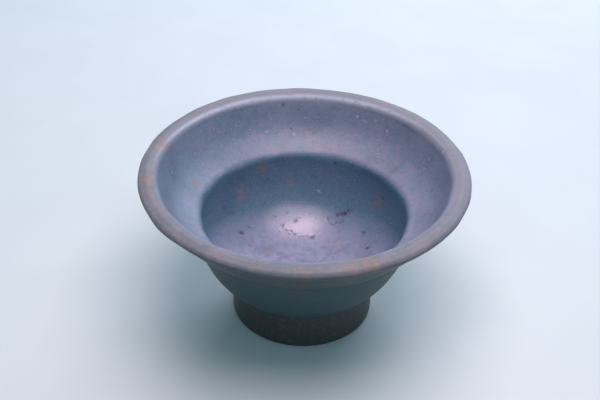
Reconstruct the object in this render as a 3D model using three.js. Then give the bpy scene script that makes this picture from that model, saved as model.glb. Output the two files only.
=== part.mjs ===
// A small footed drinking cup of cast glass with a double-curved wall, as one lathe-turned solid.
// Millimetres, +Z up, the origin at the centre of the foot's resting plane.
import * as THREE from "three";

// Rim and lip: a broad, gently domed band with a rounded outer edge
const rimDiameter = 92;
const lipWidth = 5.8;
const lipEdgeThickness = 2.6;
const lipDome = 0.35;
const lipDrop = 2.6;
const lipSlope = 2.1;

// Upper zone: flares from the inner step to the lip
const stepDiameter = 58;
const stepDepth = 14;
const stepRound = 2.2;

// Lower zone: the basin inside the step
const basinDepth = 36;
const lowerWall = 2.8;
const waistDrop = 1.4;
const waistRound = 0.9;
const floorThickness = 4.6;

// Foot: a low turned ring under the basin, hollow beneath
const footDiameter = 41;
const footHeight = 11.5;
const footRingWidth = 4.6;
const footEdgeRound = 0.8;
const footJointRound = 0.5;
const recessDepth = 7.3;
const recessCrown = 0.2;
const draft = 0.1;

// How far each curve follows its two end directions, as shares of its own width and height
const basinInside = { floor: 0.63, wall: 0.34 };
const upperInside = { step: [0.42, 0.17], lip: [0.78, 0.42] };
const upperOutside = { lip: [0.27, 0.44], waist: [0.42, 0.08] };
const basinOutside = { waist: [0.08, 0.42], foot: [0.44, 0.15] };

// Facets
const segments = 64;
const basinSteps = 9;
const upperSteps = 7;
const edgeSteps = 6;
const domeSteps = 2;
const roundSteps = 2;

const height = recessDepth + floorThickness + basinDepth;
const rimRadius = rimDiameter / 2;
const footRadius = footDiameter / 2;
const stepRadius = stepDiameter / 2;
const lipEdgeRadius = lipEdgeThickness / 2;
const waistRadius = stepRadius + lowerWall;
const recessRadius = footRadius - footRingWidth;

const point = (r, z) => new THREE.Vector2(r, z);

// The point a share of the way out and a share of the way up from one point to another.
const shared = (from, to, [out, up]) =>
  point(from.x + out * (to.x - from.x), from.y + up * (to.y - from.y));

// Points along a smooth curve that leaves the start towards one handle and arrives from the other.
function curve(start, leave, arrive, end, steps) {
  return new THREE.CubicBezierCurve(start, leave, arrive, end).getPoints(steps);
}

// Points of a rounded corner between two ends.
function corner(start, apex, end, steps = roundSteps) {
  return new THREE.QuadraticBezierCurve(start, apex, end).getPoints(steps);
}

// The lip's inner edge, where the upper zone ends.
const lipInside = point(rimRadius - lipWidth, height - lipDrop);

// Inside, from the middle of the floor up to the lip.
function insideProfile() {
  const floor = point(0, height - basinDepth);
  const basinTop = point(stepRadius, height - stepDepth - stepRound);
  const edge = point(stepRadius, height - stepDepth);
  const upperFloor = point(stepRadius + stepRound, height - stepDepth + stepRound / 3);
  return [
    curve(
      floor,
      point(basinInside.floor * basinTop.x, floor.y),
      shared(floor, basinTop, [1, basinInside.wall]),
      basinTop,
      basinSteps,
    ),
    corner(basinTop, edge, upperFloor),
    curve(
      upperFloor,
      shared(upperFloor, lipInside, upperInside.step),
      shared(upperFloor, lipInside, upperInside.lip),
      lipInside,
      upperSteps,
    ),
  ];
}

// The lip, from its inner edge over the top and round its outer edge to the underside.
function lipProfile() {
  const domeInner = point(lipInside.x + lipSlope, height - lipDome);
  const domeOuter = point(rimRadius - lipEdgeRadius, height - lipDome);
  const crest = point((domeInner.x + domeOuter.x) / 2, height + lipDome);
  const edge = new THREE.EllipseCurve(
    domeOuter.x,
    domeOuter.y - lipEdgeRadius,
    lipEdgeRadius,
    lipEdgeRadius,
    Math.PI / 2,
    -Math.PI / 2,
    true,
  );
  return [
    corner(lipInside, point(lipInside.x + lipDome, domeInner.y), domeInner),
    corner(domeInner, crest, domeOuter, domeSteps),
    edge.getPoints(edgeSteps),
  ];
}

// Outside, from under the lip down to the joint with the foot.
function outsideProfile() {
  const underLip = point(rimRadius - lipEdgeThickness, height - lipDome - lipEdgeThickness - draft);
  const waist = point(waistRadius, height - stepDepth - waistDrop);
  const waistAbove = point(waist.x + waistRound, waist.y + waistRound / 2);
  const waistBelow = point(waist.x - draft, waist.y - waistRound);
  const joint = point(footRadius + footJointRound, footHeight + footJointRound / 3);
  return [
    curve(
      underLip,
      shared(underLip, waistAbove, upperOutside.lip),
      shared(waistAbove, underLip, upperOutside.waist),
      waistAbove,
      upperSteps,
    ),
    corner(waistAbove, waist, waistBelow),
    curve(
      waistBelow,
      shared(waistBelow, joint, basinOutside.waist),
      shared(joint, waistBelow, basinOutside.foot),
      joint,
      basinSteps,
    ),
  ];
}

// The foot's outer wall, resting ring and recess, down to the middle of the underside.
function footProfile() {
  const joint = point(footRadius + footJointRound, footHeight + footJointRound / 3);
  const wallTop = point(footRadius - draft, footHeight - footJointRound);
  const wallLow = point(footRadius, footEdgeRound);
  const ringOuter = point(footRadius - footEdgeRound, 0);
  const ringInner = point(recessRadius + footEdgeRound / 2, 0);
  const recessLow = point(recessRadius, footEdgeRound / 2);
  const recessHigh = point(recessRadius - draft, recessDepth - 2 * footEdgeRound);
  const recessTop = point(recessRadius - 3 * footEdgeRound, recessDepth);
  return [
    corner(joint, point(wallTop.x, footHeight), wallTop),
    corner(wallLow, point(footRadius, 0), ringOuter),
    corner(ringInner, point(recessRadius, 0), recessLow),
    corner(recessHigh, point(recessHigh.x, recessDepth), recessTop),
    [point(0, recessDepth + recessCrown)],
  ];
}

// One closed outline from the axis, up the inside, over the lip and back to the axis underneath.
function cupOutline() {
  const all = [insideProfile(), lipProfile(), outsideProfile(), footProfile()].flat(2);
  const apart = 0.01;
  return all.filter((p, i) => i === 0 || p.distanceTo(all[i - 1]) > apart);
}

const glass = new THREE.MeshStandardMaterial({
  color: new THREE.Color(0.16, 0.22, 0.3),
  roughness: 0.42,
  metalness: 0.35,
});

// The outline is turned about the lathe's own Y axis, which is then stood up along +Z.
const cup = new THREE.Mesh(new THREE.LatheGeometry(cupOutline().reverse(), segments), glass);
cup.geometry.rotateX(Math.PI / 2);
cup.name = "cup";

const model = new THREE.Group();
model.add(cup);

export default model;
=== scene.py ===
# A small footed cup of dark weathered glass, with its floor, light and camera.
import math

import bpy
import numpy as np
from mathutils import Matrix, Vector


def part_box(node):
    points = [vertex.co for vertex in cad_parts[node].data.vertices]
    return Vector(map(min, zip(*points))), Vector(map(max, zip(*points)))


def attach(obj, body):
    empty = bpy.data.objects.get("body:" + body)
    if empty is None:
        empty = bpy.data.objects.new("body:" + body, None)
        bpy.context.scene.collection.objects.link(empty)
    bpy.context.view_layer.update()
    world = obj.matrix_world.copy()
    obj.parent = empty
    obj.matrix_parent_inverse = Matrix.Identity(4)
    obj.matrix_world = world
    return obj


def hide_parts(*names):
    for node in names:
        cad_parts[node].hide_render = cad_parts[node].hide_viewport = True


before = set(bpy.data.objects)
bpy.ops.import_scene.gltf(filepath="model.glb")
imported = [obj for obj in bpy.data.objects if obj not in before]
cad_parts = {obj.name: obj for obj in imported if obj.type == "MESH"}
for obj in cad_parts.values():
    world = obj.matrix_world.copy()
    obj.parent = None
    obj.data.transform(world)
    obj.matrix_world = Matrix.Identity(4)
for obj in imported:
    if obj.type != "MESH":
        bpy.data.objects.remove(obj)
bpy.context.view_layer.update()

cupLow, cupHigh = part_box("cup")
mm = 0.001  # one millimetre, in metres
rimRadius = (cupHigh.x - cupLow.x) / 2 / mm
topHeight = cupHigh.z / mm
print("frame loaded: cup", [round(v / mm, 1) for v in (cupHigh - cupLow)], "mm")


# Camera

view = dict(
    lens=66.0,  # mm, on a sensor 36 mm wide
    sensor=36.0,
    frame=(600, 400),  # px, the picture that every pixel below is counted in
    pitch=35.338,  # degrees below level
    roll=1.202,  # degrees
    distance=304.66 * mm,  # from the eye to the middle of the lip
    across=1.311 * mm,  # how far the middle of the lip lies right of the line of sight
    above=7.496 * mm,  # and above it
    lipMiddle=1.65 * mm,  # the middle of the lip, below the very top
)


def cameraAxes():
    # right, up and forward of the camera: forward dips by the pitch, then the other two roll about it
    pitch, roll = math.radians(view["pitch"]), math.radians(view["roll"])
    forward = Vector((0, math.cos(pitch), -math.sin(pitch)))
    level = Vector((1, 0, 0))
    steep = Vector((0, math.sin(pitch), math.cos(pitch)))
    right = math.cos(roll) * level + math.sin(roll) * steep
    up = math.cos(roll) * steep - math.sin(roll) * level
    return right, up, forward


def eyePlace():
    right, up, forward = cameraAxes()
    aim = Vector((0, 0, cupHigh.z - view["lipMiddle"]))
    return aim - view["across"] * right - view["above"] * up - view["distance"] * forward


def pixelRay(pixel):
    # the direction from the eye through a pixel of the picture
    right, up, forward = cameraAxes()
    width, height = view["frame"]
    focal = view["lens"] / view["sensor"] * width
    x = (pixel[0] - width / 2) / focal
    y = (height / 2 - pixel[1]) / focal
    return (forward + x * right + y * up).normalized()


def makeCamera():
    right, up, forward = cameraAxes()
    data = bpy.data.cameras.new("camera")
    data.lens = view["lens"]
    data.sensor_width = view["sensor"]
    data.clip_start = 0.01
    data.clip_end = 20
    camera = bpy.data.objects.new("camera", data)
    turned = Matrix((right, up, -forward)).transposed()
    camera.matrix_world = Matrix.Translation(eyePlace()) @ turned.to_4x4()
    bpy.context.scene.collection.objects.link(camera)
    bpy.context.scene.camera = camera
    print("camera ready")


# Shader maths

class Value:
    # wraps a node's output, so that sums on it add Math nodes
    def __init__(self, net, socket):
        self.net, self.socket = net, socket

    def maths(self, operation, *others, clamp=False):
        terms = dict(enumerate((self, *others)))
        return self.net.add("ShaderNodeMath", dict(operation=operation, use_clamp=clamp), terms)

    def __add__(self, other):
        return self.maths("ADD", other)

    def __radd__(self, other):
        return self.maths("ADD", other)

    def __sub__(self, other):
        return self.maths("SUBTRACT", other)

    def __rsub__(self, other):
        return (self * -1).maths("ADD", other)

    def __mul__(self, other):
        return self.maths("MULTIPLY", other)

    def __rmul__(self, other):
        return self.maths("MULTIPLY", other)

    def clamped(self):
        return self.maths("ADD", 0.0, clamp=True)

    def between(self, low, high):
        # 0 below low, 1 above high, smooth in between; it falls instead where low is the greater
        if low > high:
            return 1 - self.between(high, low)
        sockets = {"Value": self, "From Min": low, "From Max": high}
        return self.net.add("ShaderNodeMapRange", dict(interpolation_type="SMOOTHSTEP"), sockets)


class Net:
    # one material's nodes
    def __init__(self, name):
        self.material = bpy.data.materials.new(name)
        self.material.use_nodes = True
        self.tree = self.material.node_tree
        self.shader = self.tree.nodes["Principled BSDF"]

    def add(self, kind, settings=None, sockets=None, out=0):
        node = self.tree.nodes.new(kind)
        for name, setting in (settings or {}).items():
            setattr(node, name, setting)
        self.feed(node, sockets or {})
        return Value(self, node.outputs[out])

    def feed(self, node, sockets):
        for name, value in sockets.items():
            if isinstance(value, Value):
                self.tree.links.new(value.socket, node.inputs[name])
            else:
                node.inputs[name].default_value = value

    def attribute(self, name):
        return self.add("ShaderNodeAttribute", dict(attribute_name=name), out=2)

    def millimetres(self):
        place = self.add("ShaderNodeTexCoord", out=3)
        return self.add("ShaderNodeVectorMath", dict(operation="SCALE"), {0: place, "Scale": 1 / mm})

    def noise(self, vector, size, detail=3.0, rough=0.55, warp=0.0):
        # cloudy values about 0.5, with clouds of about the given size in mm
        sockets = {"Vector": vector, "Scale": 1 / size, "Detail": detail, "Roughness": rough}
        return self.add("ShaderNodeTexNoise", None, {**sockets, "Distortion": warp})

    def cells(self, vector, size, out=0):
        # distance to the nearest of many scattered points, or a colour for each of them
        sockets = {"Vector": vector, "Scale": 1 / size}
        return self.add("ShaderNodeTexVoronoi", None, sockets, out=out)

    def mix(self, share, first, second):
        # first where share is 0, second where it is 1
        sockets = {"Factor": share, 6: first, 7: second}
        return self.add("ShaderNodeMix", dict(data_type="RGBA"), sockets, out=2)

    def part(self, colour, which):
        # one channel of a colour, 0 to 2
        return self.add("ShaderNodeSeparateColor", None, {"Color": colour}, out=which)

    def blend(self, share):
        # a second shader, which takes the first one's place as share goes from 0 to 1
        second = self.tree.nodes.new("ShaderNodeBsdfPrincipled")
        blender = self.tree.nodes.new("ShaderNodeMixShader")
        links = self.tree.links
        links.new(share.socket, blender.inputs[0])
        links.new(self.shader.outputs[0], blender.inputs[1])
        links.new(second.outputs[0], blender.inputs[2])
        links.new(blender.outputs[0], self.tree.nodes["Material Output"].inputs["Surface"])
        return second


def linear(red, green, blue):
    # a colour given as screen values 0 to 255, as the shader wants it
    shares = np.array([red, green, blue]) / 255
    low = shares / 12.92
    high = ((shares + 0.055) / 1.055) ** 2.4
    return (*np.where(shares <= 0.04045, low, high), 1.0)


# Cup: its shape

cupShape = dict(  # millimetres, as the cup is turned
    lipWidth=5.8,
    lipEdge=2.6,
    lipDome=0.35,
    lipDrop=2.6,
    lipSlope=2.1,
    stepRadius=29.0,
    stepDepth=14.0,
    stepRound=2.2,
    basinDepth=36.0,
    lowerWall=2.8,
    waistDrop=1.4,
    waistRound=0.9,
    footRadius=20.5,
    footHeight=11.5,
    footRing=4.6,
    footEdge=0.8,
    footJoint=0.5,
    recessDepth=7.3,
    recessCrown=0.2,
    draft=0.1,
    basinFloor=0.63,  # how far each curve follows its end directions, as shares of its width and height
    basinWall=0.34,
    upperFromStep=(0.42, 0.17),
    upperToLip=(0.78, 0.42),
    wallFromLip=(0.27, 0.44),
    wallToWaist=(0.42, 0.08),
    bowlFromWaist=(0.08, 0.42),
    bowlToFoot=(0.44, 0.15),
    fineGap=0.3,  # between rings of vertices inside
    lipGap=0.45,
    plainGap=0.85,  # and outside
    joinGap=0.05,  # two zones whose ends are nearer than this share a ring
    around=320,  # vertices in a ring
)

cupWander = dict(  # millimetres that the hand-ground surface strays, and how long its waves are
    body=0.07,
    bodySize=16.0,
    bodySeed=3,
    step=0.16,
    stepSize=9.0,
    stepSeed=8,
    stepReach=2.6,  # how far from the step's edge
    lip=0.06,
    lipSize=11.0,
    lipSeed=5,
    scar=0.05,  # how deep the scars are
    fray=0.16,  # how ragged the round marks are
    fraySize=1.6,
    fraySeeds=(11, 12, 13),
)


def bezier(points, count=200):
    # a curve from the first point to the last, drawn towards those between: the Bernstein sum
    points = np.array(points, float)
    t = np.linspace(0, 1, count)[:, None]
    degree = len(points) - 1
    terms = [math.comb(degree, k) * t**k * (1 - t) ** (degree - k) * p for k, p in enumerate(points)]
    return sum(terms)


def shared(start, end, out, up):
    # the point a share of the way out and a share of the way up from start to end
    return (start[0] + out * (end[0] - start[0]), start[1] + up * (end[1] - start[1]))


def halfCircle(middle, radius, count=60):
    # a half circle from above its middle round the outside to below it
    turn = np.linspace(math.pi / 2, -math.pi / 2, count)
    return np.stack([middle[0] + radius * np.cos(turn), middle[1] + radius * np.sin(turn)], 1)


def insideZones(s):
    # basin, step and upper zone as curves of (radius, height), from the middle outwards
    floor = (0, topHeight - s["basinDepth"])
    basinTop = (s["stepRadius"], topHeight - s["stepDepth"] - s["stepRound"])
    edge = (s["stepRadius"], topHeight - s["stepDepth"])
    upperFloor = (edge[0] + s["stepRound"], edge[1] + s["stepRound"] / 3)
    lipInside = (rimRadius - s["lipWidth"], topHeight - s["lipDrop"])
    floorEnd = (s["basinFloor"] * basinTop[0], floor[1])
    wallStart = shared(floor, basinTop, 1, s["basinWall"])
    leave = shared(upperFloor, lipInside, *s["upperFromStep"])
    arrive = shared(upperFloor, lipInside, *s["upperToLip"])
    return dict(
        basin=bezier([floor, floorEnd, wallStart, basinTop]),
        step=bezier([basinTop, edge, upperFloor]),
        upper=bezier([upperFloor, leave, arrive, lipInside]),
    )


def lipZone(s):
    # the lip: a rise from the inside, a low dome and a half circle round the edge
    lipInside = (rimRadius - s["lipWidth"], topHeight - s["lipDrop"])
    domeInner = (lipInside[0] + s["lipSlope"], topHeight - s["lipDome"])
    edgeRadius = s["lipEdge"] / 2
    domeOuter = (rimRadius - edgeRadius, topHeight - s["lipDome"])
    crest = ((domeInner[0] + domeOuter[0]) / 2, topHeight + s["lipDome"])
    rise = bezier([lipInside, (lipInside[0] + s["lipDome"], domeInner[1]), domeInner])
    dome = bezier([domeInner, crest, domeOuter])
    edge = halfCircle((domeOuter[0], domeOuter[1] - edgeRadius), edgeRadius)
    return dict(lip=np.concatenate([rise, dome[1:], edge[1:]]))


def outsideZones(s):
    # the wall under the lip, the waist and the bowl down to the foot
    under = (rimRadius - s["lipEdge"], topHeight - s["lipDome"] - s["lipEdge"] - s["draft"])
    waist = (s["stepRadius"] + s["lowerWall"], topHeight - s["stepDepth"] - s["waistDrop"])
    above = (waist[0] + s["waistRound"], waist[1] + s["waistRound"] / 2)
    below = (waist[0] - s["draft"], waist[1] - s["waistRound"])
    joint = (s["footRadius"] + s["footJoint"], s["footHeight"] + s["footJoint"] / 3)
    wallStart = shared(under, above, *s["wallFromLip"])
    wallEnd = shared(above, under, *s["wallToWaist"])
    bowlStart = shared(below, joint, *s["bowlFromWaist"])
    bowlEnd = shared(joint, below, *s["bowlToFoot"])
    return dict(
        outerUpper=bezier([under, wallStart, wallEnd, above]),
        waist=bezier([above, waist, below]),
        outerBowl=bezier([below, bowlStart, bowlEnd, joint]),
    )


def footZones(s):
    # the foot's wall, its resting ring and the recess beneath
    foot, edge = s["footRadius"], s["footEdge"]
    recess = foot - s["footRing"]
    joint = (foot + s["footJoint"], s["footHeight"] + s["footJoint"] / 3)
    wallTop = (foot - s["draft"], s["footHeight"] - s["footJoint"])
    recessHigh = (recess - s["draft"], s["recessDepth"] - 2 * edge)
    wall = np.concatenate([
        bezier([joint, (wallTop[0], s["footHeight"]), wallTop]),
        bezier([(foot, edge), (foot, 0), (foot - edge, 0)]),
    ])
    under = np.concatenate([
        bezier([(recess + edge / 2, 0), (recess, 0), (recess, edge / 2)]),
        bezier([recessHigh, (recessHigh[0], s["recessDepth"]), (recess - 3 * edge, s["recessDepth"])]),
        [(0, s["recessDepth"] + s["recessCrown"])],
    ])
    return dict(foot=wall, under=under)


def spaced(line, gap):
    # the same line with its points a gap apart, by the length along it
    steps = np.hypot(*np.diff(line, axis=0).T)
    along = np.concatenate([[0], np.cumsum(steps)])
    count = max(2, round(along[-1] / gap) + 1)
    want = np.linspace(0, along[-1], count)
    return np.stack([np.interp(want, along, line[:, 0]), np.interp(want, along, line[:, 1])], 1)


def cupProfile():
    # the whole outline from the middle of the floor round to the middle underneath, with zone names
    s = cupShape
    zones = {**insideZones(s), **lipZone(s), **outsideZones(s), **footZones(s)}
    gaps = dict(basin=s["fineGap"], step=s["fineGap"], upper=s["fineGap"], lip=s["lipGap"])
    lines, names = [], []
    for name, line in zones.items():
        fresh = spaced(line, gaps.get(name, s["plainGap"]))
        touching = lines and np.hypot(*(fresh[0] - lines[-1][-1])) < s["joinGap"]
        fresh = fresh[1:] if touching else fresh
        lines.append(fresh)
        names += [name] * len(fresh)
    return np.concatenate(lines), np.array(names)


def ripple(places, size, seed):
    # a smooth uneven field about zero: the sum of plane waves of seeded directions and lengths
    waves = 12
    shortest, longest = 0.6, 1.6  # shares of the size
    random = np.random.default_rng(seed)
    field = np.zeros(places.shape[:-1])
    for _ in range(waves):
        heading = random.normal(size=3)
        heading /= np.linalg.norm(heading)
        length = size * random.uniform(shortest, longest)
        field += np.sin(places @ heading * 2 * math.pi / length + random.uniform(0, 2 * math.pi))
    return field / math.sqrt(waves)


def bell(distance, width):
    # 1 at no distance, falling away on both sides: exp(-(distance / width)^2)
    return np.exp(-((distance / width) ** 2))


def ramp(values, start, width):
    # 0 up to start, then rising straight to 1 over the width
    return np.clip((values - start) / width, 0, 1)


def turned(profile):
    # each profile point carried round the axis: x = r cos a, y = r sin a, z = height
    angle = np.arange(cupShape["around"]) * 2 * math.pi / cupShape["around"]
    r, z = profile[:, 0, None], profile[:, 1, None]
    return np.stack([r * np.cos(angle), r * np.sin(angle), z + 0 * angle], -1)


def outward(profile):
    # the unit normal of each profile point, pointing out of the glass, as (radial, up)
    along = np.gradient(profile, axis=0)
    normal = np.stack([-along[:, 1], along[:, 0]], 1)
    return normal / np.linalg.norm(normal, axis=1)[:, None]


def cupSurface():
    # the turned profile as points, normals and zone names, with the two poles last
    profile, zoneOfRing = cupProfile()
    rings = slice(1, -1)  # the profile's two ends are the poles
    poles = [[0, 0, profile[0, 1]], [0, 0, profile[-1, 1]]]
    upAndDown = [[0, 0, 1], [0, 0, -1]]
    points = np.concatenate([turned(profile[rings]).reshape(-1, 3), poles])
    normals = np.concatenate([turned(outward(profile)[rings]).reshape(-1, 3), upAndDown])
    zones = np.concatenate([np.repeat(zoneOfRing[rings], cupShape["around"]), ["basin", "under"]])
    return points, normals, zones


def ringFaces(rings, around):
    # quads between neighbouring rings, and a fan of triangles to the pole at each end
    ring, turn = np.meshgrid(np.arange(rings - 1), np.arange(around), indexing="ij")
    ahead = (turn + 1) % around
    near = ring * around
    far = near + around
    quads = np.stack([near + turn, far + turn, far + ahead, near + ahead], -1).reshape(-1, 4)
    turn = np.arange(around)
    ahead = (turn + 1) % around
    firstPole = rings * around
    floorFan = np.stack([np.full(around, firstPole), turn, ahead], 1)
    last = firstPole - around
    underFan = np.stack([np.full(around, firstPole + 1), last + ahead, last + turn], 1)
    return quads.tolist() + floorFan.tolist() + underFan.tolist()


def makeBody(name, points):
    # a closed turned body from its rings of points, with the two poles last
    rings = (len(points) - 2) // cupShape["around"]
    mesh = bpy.data.meshes.new(name)
    mesh.from_pydata((points * mm).tolist(), [], ringFaces(rings, cupShape["around"]))
    mesh.polygons.foreach_set("use_smooth", [True] * len(mesh.polygons))
    mesh.update()
    body = bpy.data.objects.new(name, mesh)
    bpy.context.scene.collection.objects.link(body)
    return body


# Cup: its marks, each placed by the pixel where it shows

pits = dict(  # pixel, width and depth in mm
    backWall=((335, 164), 1.3, 0.15),
    leftWall=((243, 180), 1.0, 0.15),
    rightWall=((382, 199), 1.3, 0.18),
    rightFloor=((363, 232), 1.3, 0.18),
    rightFront=((367, 248), 1.4, 0.18),
    leftRing=((242, 233), 1.6, 0.15),
    leftSmall=((249, 227), 0.8, 0.10),
    floorLeft=((276, 217), 0.9, 0.12),
    floorBack=((287, 213), 0.9, 0.10),
    glowBack=((296, 221), 1.1, 0.15),
    glowBackRight=((300, 219), 0.7, 0.10),
    glowFarLeft=((284, 226), 0.8, 0.10),
    glowLeft=((287, 230), 0.8, 0.10),
    glowNearLeft=((292, 230), 0.7, 0.10),
    glowFront=((295, 233), 0.9, 0.12),
    glowLow=((290, 234), 0.7, 0.10),
    glowOuter=((280, 231), 0.6, 0.08),
    glowRight=((312, 236), 1.3, 0.18),
    upperBack=((283, 105), 0.9, 0.15),
    upperMiddle=((291, 129), 0.7, 0.10),
    flawDark=((344, 214), 1.2, 0.12),
)

bubbles = dict(  # burst bubbles, each with a painted glint: pixel, width and depth in mm
    left=((267, 131), 0.9, 0.10),
    middle=((294, 134), 0.8, 0.10),
    rightA=((357, 116), 0.7, 0.08),
    rightB=((365, 121), 0.7, 0.08),
    rightC=((375, 121), 0.7, 0.08),
    rightD=((387, 131), 0.7, 0.08),
    farRightA=((429, 159), 0.7, 0.08),
    farRightB=((424, 169), 0.7, 0.08),
    farRightC=((443, 152), 0.7, 0.08),
    farLeft=((170, 149), 0.8, 0.10),
    basin=((319, 191), 0.7, 0.08),
)

stains = dict(  # rusty and ochre stains: pixel, width in mm, strength
    lipLeftHigh=((161, 144), 5.0, 0.75),
    lipLeft=((146, 179), 5.5, 0.75),
    lipLeftLow=((146, 194), 3.5, 0.45),
    lipLeftLower=((161, 209), 4.0, 0.40),
    lipFrontRight=((370, 262), 6.0, 0.80),
    lipFrontRightEnd=((353, 267), 4.0, 0.60),
    lipFront=((305, 273), 5.0, 0.30),
    lipFrontLeft=((214, 252), 5.0, 0.18),
    upperLeft=((196, 185), 3.0, 0.45),
    basinLeft=((242, 193), 3.5, 0.60),
    basinMiddle=((290, 182), 2.5, 0.40),
    basinBack=((262, 167), 4.0, 0.50),
    basinRight=((378, 203), 4.0, 0.42),
    floorFront=((269, 252), 2.0, 0.45),
    floorRight=((335, 244), 5.0, 0.25),
    stepBack=((326, 147), 2.0, 0.50),
)

washes = dict(  # darker areas: pixel, width in mm, strength; leftTop is painted shade on the steep wall at the left
    leftBack=((214, 138), 22.0, 0.12),
    leftTop=((165, 178), 10.0, 0.25),
)

flaws = dict(  # dark purple scars in the film: pixel, width in mm, strength
    longA=((337, 215), 1.3, 0.8),
    longB=((341, 214), 1.5, 1.0),
    longC=((345, 213), 1.5, 1.0),
    longD=((349, 211), 1.3, 0.8),
    longE=((352, 210), 0.9, 0.6),
    crescentA=((327, 218), 1.0, 0.6),
    crescentB=((329, 222), 1.0, 0.7),
    crescentC=((332, 224), 1.0, 0.8),
    crescentD=((336, 223), 1.0, 0.8),
    crescentE=((340, 223), 1.0, 0.7),
    crescentF=((343, 221), 0.9, 0.5),
    glowScarA=((299, 236), 0.8, 0.6),
    glowScarB=((303, 236), 0.9, 0.7),
    glowScarC=((307, 235), 0.8, 0.5),
)

markLook = dict(  # how the marks spread, in mm and as powers
    haloWidth=2.6,  # the dull ring round a burst bubble
    # the painted glint on a burst bubble
    glintWidth=0.9,
    roundEdge=2.0,  # the greater the power, the sharper the mark's edge
    scarEdge=3.0,
    pitEdge=4.0,
)


def placeOn(thing, pixel):
    # the point of the cup that shows at a pixel, in mm
    found, place, _, _ = thing.ray_cast(eyePlace(), pixelRay(pixel))
    return np.array(place) / mm if found else None


def frayed(points):
    # the points shifted by a fine ripple, so that round marks come out ragged
    shift = [ripple(points, cupWander["fraySize"], seed) for seed in cupWander["fraySeeds"]]
    return points + cupWander["fray"] * np.stack(shift, -1)


def spots(thing, ragged, marks, edge=markLook["roundEdge"]):
    # the strongest of the round marks at each point: strength times exp(-(distance / half width)^edge)
    field = np.zeros(len(ragged))
    for pixel, width, strength in marks.values():
        centre = placeOn(thing, pixel)
        if centre is None:
            print("a mark at pixel", pixel, "misses the cup")
            continue
        away = np.linalg.norm(ragged - centre, axis=1) / (width / 2)
        field = np.maximum(field, strength * np.exp(-(away**edge)))
    return field


def markFields(cup, ragged):
    # how strongly each kind of mark covers each point, 0 to 1
    pitMarks = {name: (pixel, width, 1.0) for name, (pixel, width, _) in pits.items()}
    halos = {name: (pixel, markLook["haloWidth"], 1.0) for name, (pixel, _, _) in bubbles.items()}
    glints = {name: (pixel, markLook["glintWidth"], 1.0) for name, (pixel, _, _) in bubbles.items()}
    return dict(
        pit=spots(cup, ragged, pitMarks, markLook["pitEdge"]),
        halo=spots(cup, ragged, halos),
        glint=spots(cup, ragged, glints),
        rust=spots(cup, ragged, stains),
        darkWashAndShade=spots(cup, ragged, washes),
        scar=spots(cup, ragged, flaws, markLook["scarEdge"]),
    )


filmAreas = dict(  # millimetres, where each area of the film lies and how softly it ends
    bandInset=0.4,  # the lip's worn band begins this far outside the lip's inner edge
    bandTilt=1.0,  # and this much further in at the back, further out at the front
    bandReach=1.2,  # how far inside the lip's inner edge it may begin
    bandDrop=2.0,  # how far below the very top it ends, round the lip's outer edge
    bandFade=0.9,
    lineInset=1.2,  # the painted highlight line on the band, from where the band begins
    lineWidth=0.55,
    shadeInset=2.0,  # the painted shade inside the lip's inner edge, on the steep wall there
    shadeWidth=2.4,
    shade=0.26,  # its strength
    stepRise=1.1,  # the upper zone's film, partly painted reflection, begins this far above the basin's wall
    stepFade=1.2,
    stepSway=0.28,
    stepSwaySize=9.0,
    stepSwaySeed=21,
    tealRise=0.6,  # the teal band under the step
    tealWidth=1.5,
    floorRise=2.6,  # the lilac floor, partly painted reflection, reaches this far up before it fades
    floorFade=11.0,
    floorTilt=0.28,  # and that much lower for each mm towards the back
    outerDrop=1.2,  # the outside's film begins this far below the very top
    crustBelow=2.0,  # the crust begins this far below the waist
    crustFade=5.0,
)


def lipAreas(points, zones):
    # the lip's worn band, the painted highlight line on it and the painted shade inside it
    a = filmAreas
    radius = np.hypot(points[:, 0], points[:, 1])
    lipStart = rimRadius - cupShape["lipWidth"]
    bandStart = lipStart + a["bandInset"] - a["bandTilt"] * points[:, 1] / rimRadius
    nearLip = (zones == "lip") | ((zones == "upper") & (radius > lipStart - a["bandReach"]))
    onEdge = radius > rimRadius - cupShape["lipEdge"]
    roundEdge = ramp(points[:, 2], topHeight - a["bandDrop"], a["bandFade"])
    shade = bell(radius - lipStart + a["shadeInset"], a["shadeWidth"])
    return dict(
        worn=nearLip * ramp(radius, bandStart, a["bandFade"]) * np.where(onEdge, roundEdge, 1),
        edgeHighlight=nearLip * bell(radius - bandStart - a["lineInset"], a["lineWidth"]),
        shade=(zones == "upper") * a["shade"] * shade,
    )


def insideAreas(points):
    # the upper zone, the teal band under the step and the lilac floor, all by height; the lilac of the
    # upper zone and the floor is partly painted reflection of the lights overhead
    a = filmAreas
    height = points[:, 2]
    basinLow = topHeight - cupShape["basinDepth"]
    wallTop = topHeight - cupShape["stepDepth"] - cupShape["stepRound"]
    sway = a["stepSway"] * ripple(points, a["stepSwaySize"], a["stepSwaySeed"])
    tilt = a["floorTilt"] * points[:, 1]
    return dict(
        upperPart=ramp(height + sway, wallTop + a["stepRise"], a["stepFade"]),
        underStep=bell(height - wallTop - a["tealRise"], a["tealWidth"]),
        floorPart=1 - ramp(height + tilt, basinLow + a["floorRise"], a["floorFade"]),
    )


def outsideAreas(points, zones):
    # the outside from the lip's edge down, its crusted part above the waist, and the foot
    a = filmAreas
    height = points[:, 2]
    onEdge = (zones == "lip") & (np.hypot(points[:, 0], points[:, 1]) > rimRadius - cupShape["lipEdge"])
    outerLip = onEdge & (height < topHeight - a["outerDrop"])
    outside = np.isin(zones, ["outerUpper", "waist", "outerBowl", "foot", "under"]) | outerLip
    waistHeight = topHeight - cupShape["stepDepth"] - cupShape["waistDrop"]
    return dict(
        outside=outside,
        upperOut=outside * ramp(height, waistHeight - a["crustBelow"], a["crustFade"]),
        footPart=np.isin(zones, ["foot", "under"]),
    )


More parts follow.
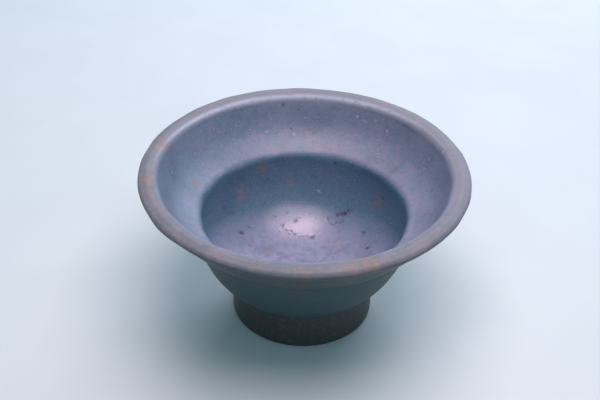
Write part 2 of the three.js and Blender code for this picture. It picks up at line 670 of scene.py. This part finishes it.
def wander(points, zones):
    # millimetres that the surface strays along its normal by hand work, none where the cup rests
    s, w = cupShape, cupWander
    radius = np.hypot(points[:, 0], points[:, 1])
    stepAway = np.hypot(radius - s["stepRadius"], points[:, 2] - (topHeight - s["stepDepth"]))
    nearStep = bell(stepAway, w["stepReach"]) * np.isin(zones, ["basin", "step", "upper"])
    resting = np.isin(zones, ["foot", "under"]) & (points[:, 2] < 2 * s["footEdge"])
    field = w["body"] * ripple(points, w["bodySize"], w["bodySeed"])
    field += w["step"] * nearStep * ripple(points, w["stepSize"], w["stepSeed"])
    field += w["lip"] * (zones == "lip") * ripple(points, w["lipSize"], w["lipSeed"])
    return np.where(resting, 0, field)


def setAttribute(mesh, name, values):
    layer = mesh.attributes.new(name, "FLOAT", "POINT")
    layer.data.foreach_set("value", np.asarray(values, np.float32))


def makeCup():
    # the marks are placed on the smooth body first, and then pressed into it
    points, normals, zones = cupSurface()
    cup = makeBody("weathered_cup", points)
    ragged = frayed(points)
    fields = {**markFields(cup, ragged), **lipAreas(points, zones)}
    fields.update(**insideAreas(points), **outsideAreas(points, zones))
    # the painted shade inside the lip joins the darker washes
    fields["darkWashAndShade"] = np.maximum(fields["darkWashAndShade"], fields.pop("shade"))
    hollow = spots(cup, ragged, pits) + spots(cup, ragged, bubbles)
    relief = wander(points, zones) - hollow - cupWander["scar"] * fields["scar"]
    cup.data.vertices.foreach_set("co", ((points + relief[:, None] * normals) * mm).ravel())
    cup.data.update()
    for name, values in fields.items():
        setAttribute(cup.data, name, values)
    print("cup:", len(points), "vertices,", len(cup.data.polygons), "faces")
    return cup


# Cup: its finish

film = dict(  # screen colours 0 to 255
    # the pale colours above the step and on the floor: partly the film's colour, partly painted reflection
    # of the lights overhead
    upperBlue=(117, 128, 150),
    upperMauve=(130, 129, 152),
    basinWall=(78, 107, 129),
    basinFloor=(164, 160, 191),
    stepTeal=(62, 108, 126),
    teal=(98, 122, 142),
    mauve=(142, 126, 152),
    # deep also colours the painted shade
    deep=(62, 78, 100),
    pale=(160, 156, 176),
    # a painted highlight along the lip's inner edge
    edgeHighlight=(184, 182, 206),
    # the painted glint on the bubbles
    glint=(205, 198, 216),
    # the worn lip's lit copy at the back and its shaded copy at the front: painted light and shade
    wornLitBack=(118, 115, 127),
    wornShadedFront=(99, 101, 115),
    wornTan=(130, 111, 110),
    wornPink=(142, 120, 134),
    rust=(146, 106, 92),
    pit=(46, 34, 54),
    scar=(56, 38, 68),
    outside=(35, 64, 68),
    crust=(72, 66, 58),
    foot=(49, 49, 50),
    footBrown=(90, 82, 76),
)

satin = dict(  # the film inside
    basinRough=0.26,
    upperRough=0.50,
    index=1.5,
    tint=(1.0, 0.80, 0.95, 1.0),
    mauveLean=0.022,  # how fast blue gives way to mauve, per mm towards the right
)

plain = dict(  # the lip and the outside, where the film has worn or crusted
    lipRough=0.62,
    outerRough=0.50,
    index=1.5,
    backLean=0.6,  # the lip's painted shade lifts from front to back, leaning to the right
    backFrom=-35.0,  # mm
    backTo=45.0,
    backTan=0.6,  # how much less tan there is at the back, as a share
    lineLean=-0.25,  # its painted highlight line fades in from front to back, leaning to the left
    lineFrom=2.0,
    lineTo=42.0,
)

patchSize = dict(  # millimetres
    clouds=14.0,
    pink=6.0,
    mottle=5.0,
    crust=4.0,
    fine=1.6,
    speck=1.3,
    grain=0.35,
)

amount = dict(  # how strongly each tint covers what is under it, 0 to 1
    underStep=0.9,
    mottleWall=0.10,  # teal and mauve mottling on the basin's wall
    mottleMore=0.35,  # and how much more there is above the step and on the floor
    cloudDark=0.22,
    fineDark=0.20,
    crust=0.8,
    footBrown=0.6,
    tan=0.6,
    pink=0.4,
    sides=0.10,
    edgeHighlight=0.9,
    halo=0.35,
    glint=0.5,
    pit=0.85,
    grain=0.34,
    grainOutside=-0.24,  # how much more or less of it there is outside, and on the worn lip
    grainWorn=-0.16,
    speck=0.35,
    speckUpper=0.30,
    speckWorn=-0.45,
)

dulling = dict(  # how dull each mark is, 0 to 1, and how much roughness that and the fine noise add
    rust=0.6,
    pit=0.8,
    scar=0.5,
    markRough=0.15,
    fineRough=0.06,
)

bumpHeight = dict(  # millimetres
    fine=0.008,
    grain=0.035,
    speck=-0.03,
)


def cover(colour, name, share):
    # the colour with one of the film's tints over it, as far as share says
    return share.net.mix(share, colour, linear(*film[name]))


def insideColour(net, at, fine):
    # bluer to the left and mauve to the right above the step; teal walls and a lilac floor below; the pale
    # lilac above the step and on the floor is partly the film's colour, partly painted reflection of the
    # lights overhead
    upperPart, floorPart = net.attribute("upperPart"), net.attribute("floorPart")
    clouds = net.noise(at, patchSize["clouds"], detail=4.0, rough=0.55, warp=0.6)
    across = (net.part(at, 0) * satin["mauveLean"] + clouds).between(-0.1, 1.1)
    upper = cover(linear(*film["upperBlue"]), "upperMauve", across)
    low = cover(linear(*film["basinWall"]), "basinFloor", floorPart)
    teal = net.attribute("underStep") * clouds.between(0.30, 0.55)
    low = cover(low, "stepTeal", teal * amount["underStep"])
    colour = net.mix(upperPart, low, upper)
    mottle = net.noise(at, patchSize["mottle"], detail=4.0, rough=0.6, warp=0.9)
    mottled = (upperPart + floorPart).clamped() * amount["mottleMore"] + amount["mottleWall"]
    colour = cover(colour, "teal", mottle.between(0.54, 0.36) * mottled)
    colour = cover(colour, "mauve", mottle.between(0.50, 0.68) * mottled)
    dark = clouds.between(0.52, 0.30) * amount["cloudDark"] + fine.between(0.52, 0.34) * amount["fineDark"]
    # darker washes, painted shade and dark clouds
    return cover(colour, "deep", (net.attribute("darkWashAndShade") + dark).clamped())


def outsideColour(net, at, fine):
    # teal, with a brownish crust below the lip and on the foot
    foot = net.attribute("footPart")
    patches = net.noise(at, patchSize["crust"], detail=4.0, rough=0.6, warp=0.4)
    crusted = net.attribute("upperOut") * patches.between(0.38, 0.66) * amount["crust"]
    colour = cover(linear(*film["outside"]), "crust", crusted)
    colour = cover(colour, "foot", foot)
    return cover(colour, "footBrown", foot * fine.between(0.50, 0.72) * amount["footBrown"])


def lipColour(net, at, fine):
    # painted shade makes it greyer and darker at the front, with tan and pink patches, and painted light
    # makes it a little paler at the two sides
    x, y = net.part(at, 0), net.part(at, 1)
    back = (y + plain["backLean"] * x).between(plain["backFrom"], plain["backTo"])
    colour = cover(linear(*film["wornShadedFront"]), "wornLitBack", back)
    tan = fine.between(0.40, 0.66) * amount["tan"] * (1 - plain["backTan"] * back)
    colour = cover(colour, "wornTan", tan)
    pink = net.noise(at, patchSize["pink"], rough=0.6, warp=0.5).between(0.46, 0.66)
    colour = cover(colour, "wornPink", pink * amount["pink"])
    # painted light: paler towards the left and the right
    sides = (x * x * (1 / rimRadius**2)).clamped()
    return cover(colour, "pale", sides * amount["sides"])


def markShares(net, fine):
    # how strongly rust, pits and scars cover each place, broken up by the fine noise
    return dict(
        rust=net.attribute("rust") * (0.35 + 0.65 * fine.between(0.30, 0.66)),
        pit=net.attribute("pit") * (0.5 + 0.5 * fine.between(0.28, 0.50)),
        scar=net.attribute("scar") * fine.between(0.10, 0.42),
    )


def withMarks(net, at, fine, colour, marks):
    # the painted highlight line on the lip's left and back, then the bubbles' dull rings and painted
    # glints, the rust, the pits and the scars
    x, y = net.part(at, 0), net.part(at, 1)
    leftBack = (y + plain["lineLean"] * x).between(plain["lineFrom"], plain["lineTo"])
    line = net.attribute("edgeHighlight") * fine.between(0.25, 0.50) * leftBack
    colour = cover(colour, "edgeHighlight", line * amount["edgeHighlight"])
    colour = cover(colour, "deep", net.attribute("halo") * amount["halo"])
    # painted glints on the bubbles
    colour = cover(colour, "glint", net.attribute("glint") * amount["glint"])
    colour = cover(colour, "rust", marks["rust"])
    colour = cover(colour, "pit", marks["pit"] * amount["pit"])
    return cover(colour, "scar", marks["scar"])


def specks(net, at):
    # a small dot in about one in six of the scattered cells
    chosen = net.part(net.cells(at, patchSize["speck"], out=1), 0).between(0.80, 0.88)
    return chosen * net.cells(at, patchSize["speck"]).between(0.24, 0.12)


def weatheredGlass():
    net = Net("weathered_glass")
    at = net.millimetres()
    worn, outside, upperPart = (net.attribute(name) for name in ("worn", "outside", "upperPart"))
    fine = net.noise(at, patchSize["fine"], detail=5.0, rough=0.7)
    grain = net.noise(at, patchSize["grain"], detail=2.0, rough=0.6)
    speck = specks(net, at)
    marks = markShares(net, fine)

    colour = net.mix(outside, insideColour(net, at, fine), outsideColour(net, at, fine))
    colour = net.mix(worn, colour, lipColour(net, at, fine))
    colour = withMarks(net, at, fine, colour, marks)
    grainShare = amount["grain"] + amount["grainOutside"] * outside + amount["grainWorn"] * worn
    colour = cover(colour, "pale", grain.between(0.45, 0.75) * grainShare)
    speckShare = amount["speck"] + amount["speckUpper"] * upperPart + amount["speckWorn"] * worn
    colour = cover(colour, "pale", speck * (1 - outside) * speckShare)

    dull = sum(marks[name] * dulling[name] for name in marks).clamped()
    rough = satin["basinRough"] + (satin["upperRough"] - satin["basinRough"]) * upperPart
    rough = rough + dulling["markRough"] * dull + dulling["fineRough"] * (fine - 0.5)
    plainRough = plain["outerRough"] + (plain["lipRough"] - plain["outerRough"]) * worn
    height = bumpHeight["fine"] * fine + bumpHeight["grain"] * grain + bumpHeight["speck"] * speck
    normal = net.add("ShaderNodeBump", None, {"Strength": 1.0, "Distance": mm, "Height": height})
    plainShader = net.blend((outside + worn).clamped())
    for shader, look, roughness in ((net.shader, satin, rough), (plainShader, plain, plainRough)):
        net.feed(shader, {
            "Base Color": colour,
            "Roughness": roughness,
            "Normal": normal,
            "IOR": look["index"],
        })
    net.feed(net.shader, {"Specular Tint": satin["tint"]})
    return net.material


# Floor and light

floorLook = dict(
    reach=1.6,  # metres each way
    colour=(217, 217, 221),
    roughness=0.7,
    specular=0.2,
    mottle=3,  # screen values that its faint clouds are darker
    mottleSize=30.0,  # mm
)

studio = dict(  # metres and watts
    boxPlace=(0.045, -0.05, 0.45),  # a soft box overhead
    boxSize=(0.34, 0.32),
    boxPower=1.75,
    boxColour=(1.0, 0.92, 0.95),
    backPlace=(0.17, 0.58, 0.45),  # a long cool one behind, towards the right
    backSize=(0.60, 0.23),
    backPower=4.4,
    backColour=(0.77, 0.87, 1.0),
    lampPlace=(0.02, 0.13, 0.80),  # a small lamp, which only adds the gleam in the basin
    lampSize=(0.24, 0.36),
    lampPower=2.6,
    lampColour=(1.0, 0.88, 0.85),
    skyTop=(0.04, 0.08, 0.10, 1),
    skyLow=(0.46, 0.74, 0.83, 1),
    skyLean=(0.20, 0.0, 0.0),  # how much brighter the sky is at the right, as a share
)


def makeFloor():
    reach = floorLook["reach"]
    mesh = bpy.data.meshes.new("floor")
    corners = [(-reach, -reach, 0), (reach, -reach, 0), (reach, reach, 0), (-reach, reach, 0)]
    mesh.from_pydata(corners, [], [(0, 1, 2, 3)])
    floor = bpy.data.objects.new("floor", mesh)
    bpy.context.scene.collection.objects.link(floor)
    net = Net("pale_floor")
    at = net.millimetres()
    mottle = net.noise(at, floorLook["mottleSize"], 2.0).between(0.3, 0.7)
    pale = linear(*floorLook["colour"])
    shade = linear(*(value - floorLook["mottle"] for value in floorLook["colour"]))
    net.feed(net.shader, {
        "Base Color": net.mix(mottle, pale, shade),
        "Roughness": floorLook["roughness"],
        "Specular IOR Level": floorLook["specular"],
    })
    mesh.materials.append(net.material)
    print("floor ready")


def makeLamp(name, shape, size, place, power, colour):
    # an area lamp that faces straight down
    data = bpy.data.lights.new(name, "AREA")
    data.shape = shape
    data.size = size[0]
    data.size_y = size[1]
    data.energy = power
    data.color = colour
    lamp = bpy.data.objects.new(name, data)
    lamp.location = place
    bpy.context.scene.collection.objects.link(lamp)
    return lamp


def makeSky():
    # bright at the horizon, fading to dark overhead, and a little brighter towards the right:
    # strength = 1 + the direction's dot product with skyLean
    world = bpy.data.worlds.new("sky")
    world.use_nodes = True
    bpy.context.scene.world = world
    tree = world.node_tree
    where = tree.nodes.new("ShaderNodeTexCoord")
    split = tree.nodes.new("ShaderNodeSeparateXYZ")
    ramp = tree.nodes.new("ShaderNodeValToRGB")
    ramp.color_ramp.elements[0].color = studio["skyLow"]
    ramp.color_ramp.elements[1].color = studio["skyTop"]
    tree.links.new(where.outputs["Generated"], split.inputs[0])
    tree.links.new(split.outputs["Z"], ramp.inputs[0])
    tree.links.new(ramp.outputs[0], tree.nodes["Background"].inputs["Color"])
    lean = tree.nodes.new("ShaderNodeVectorMath")
    lean.operation = "DOT_PRODUCT"
    lean.inputs[1].default_value = studio["skyLean"]
    tree.links.new(where.outputs["Generated"], lean.inputs[0])
    strength = tree.nodes.new("ShaderNodeMath")
    strength.inputs[1].default_value = 1.0
    tree.links.new(lean.outputs["Value"], strength.inputs[0])
    tree.links.new(strength.outputs[0], tree.nodes["Background"].inputs["Strength"])


def makeLight():
    s = studio
    makeLamp("soft_box", "RECTANGLE", s["boxSize"], s["boxPlace"], s["boxPower"], s["boxColour"])
    makeLamp("back_box", "RECTANGLE", s["backSize"], s["backPlace"], s["backPower"], s["backColour"])
    gleam = makeLamp("gleam", "ELLIPSE", s["lampSize"], s["lampPlace"], s["lampPower"], s["lampColour"])
    gleam.visible_diffuse = False
    makeSky()
    print("light ready")


makeCamera()
makeFloor()
makeLight()
bpy.context.scene.view_settings.view_transform = "Standard"

cup = makeCup()
cup.data.materials.append(weatheredGlass())
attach(cup, "root")
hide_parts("cup")
